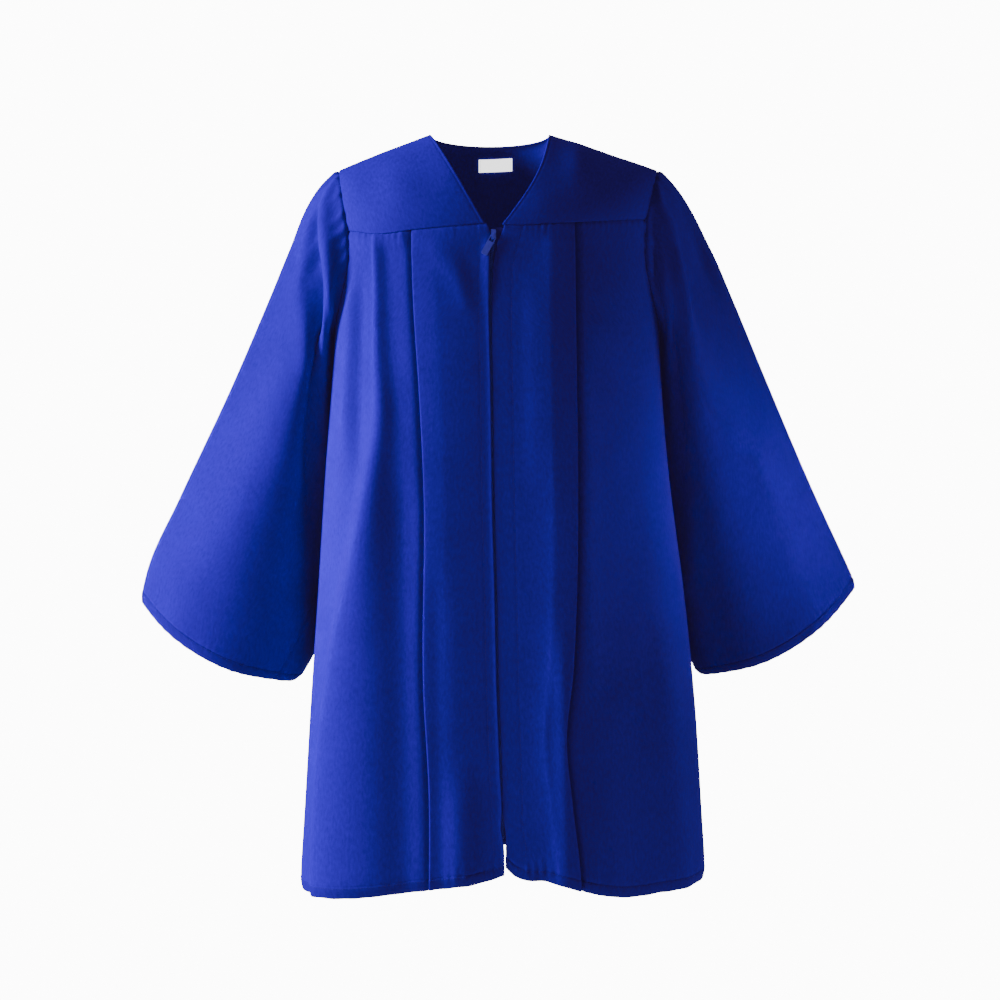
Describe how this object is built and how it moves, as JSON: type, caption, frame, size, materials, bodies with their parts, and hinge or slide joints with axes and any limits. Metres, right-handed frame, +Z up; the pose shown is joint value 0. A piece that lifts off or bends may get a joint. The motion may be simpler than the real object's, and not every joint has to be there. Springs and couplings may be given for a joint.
{
  "type": "graduation gown",
  "caption": "Royal-blue graduation gown, worn and hollow: V-necked yoke, pleated fronts that meet at a zip, gathered bell sleeves.",
  "frame": {"origin": "on the level of the neck points, midway between the two shoulders, where the wearer's shoulders carry the gown", "axes": "+Z up; the front faces -Y; the wearer's right side lies at -X"},
  "size_m": [0.6499, 0.285, 0.671],
  "materials": {
    "royal_blue_cloth": "matte woven polyester",
    "blue_zip_tape": "matte woven tape",
    "blue_enamel": "blue enamel, satin",
    "white_satin": "bare white satin"
  },
  "bodies": {
    "gown": {"yoke_front_right": "royal_blue_cloth", "yoke_front_left": "royal_blue_cloth", "yoke_back": "royal_blue_cloth", "front_right": "royal_blue_cloth", "front_left": "royal_blue_cloth", "back": "royal_blue_cloth", "sleeve_right": "royal_blue_cloth", "sleeve_left": "royal_blue_cloth", "zip_tape_right": "blue_zip_tape", "zip_tape_left": "blue_zip_tape", "zip_slider": "blue_enamel", "size_label": "white_satin"},
    "pull_tab": {"zip_pull_tab": "blue_enamel"}
  },
  "joints": [
    {"name": "pull_tab_swing", "type": "hinge", "parent": "gown", "child": "pull_tab", "pos_m": [-0.00284, -0.09374, -0.10084], "axis": [-0.8829, 0.0618, 0.4654], "range_deg": [0, 160]}
  ]
}
